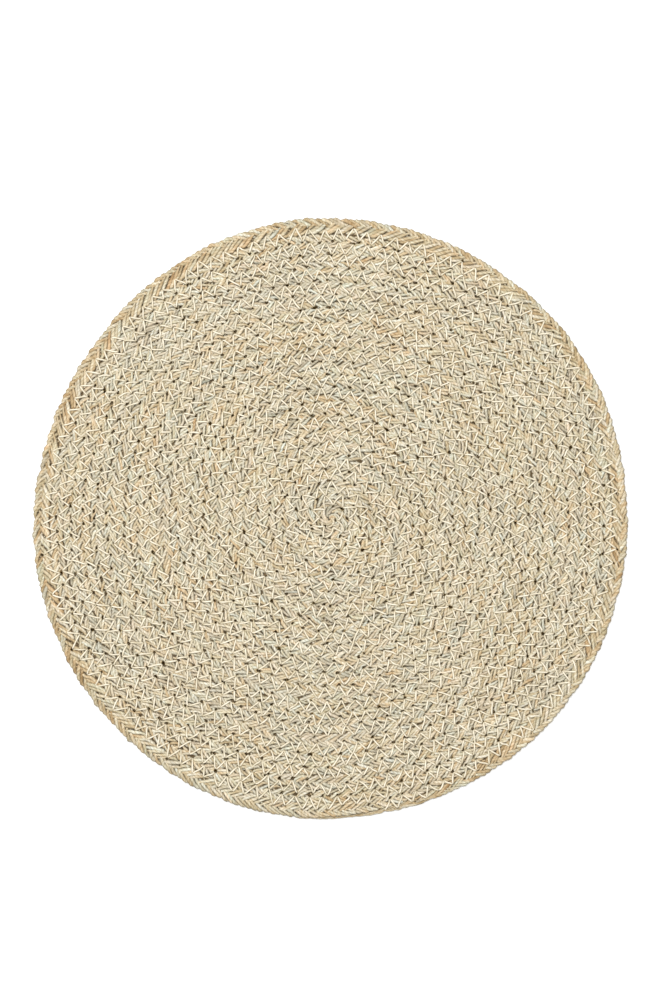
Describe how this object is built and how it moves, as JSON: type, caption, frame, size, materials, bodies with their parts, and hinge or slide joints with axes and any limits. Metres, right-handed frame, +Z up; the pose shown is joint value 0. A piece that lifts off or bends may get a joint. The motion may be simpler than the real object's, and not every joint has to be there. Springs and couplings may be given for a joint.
{
  "type": "round braided jute placemat",
  "caption": "Round flat table mat of natural jute braid, wound in a spiral and sewn edge to edge, that lies under a plate.",
  "frame": {"origin": "middle of the mat's underside, on the surface it lies on", "axes": "+Z up out of the mat's upper face; +X to the right and +Y away from the person, seen from above; the braid's end is at the rim on the -Y side"},
  "size_m": [0.3778, 0.382, 0.0036],
  "materials": {
    "jute_braid": "matt natural jute yarn, undyed"
  },
  "bodies": {
    "root": {"braided_mat": "jute_braid"}
  },
  "joints": []
}
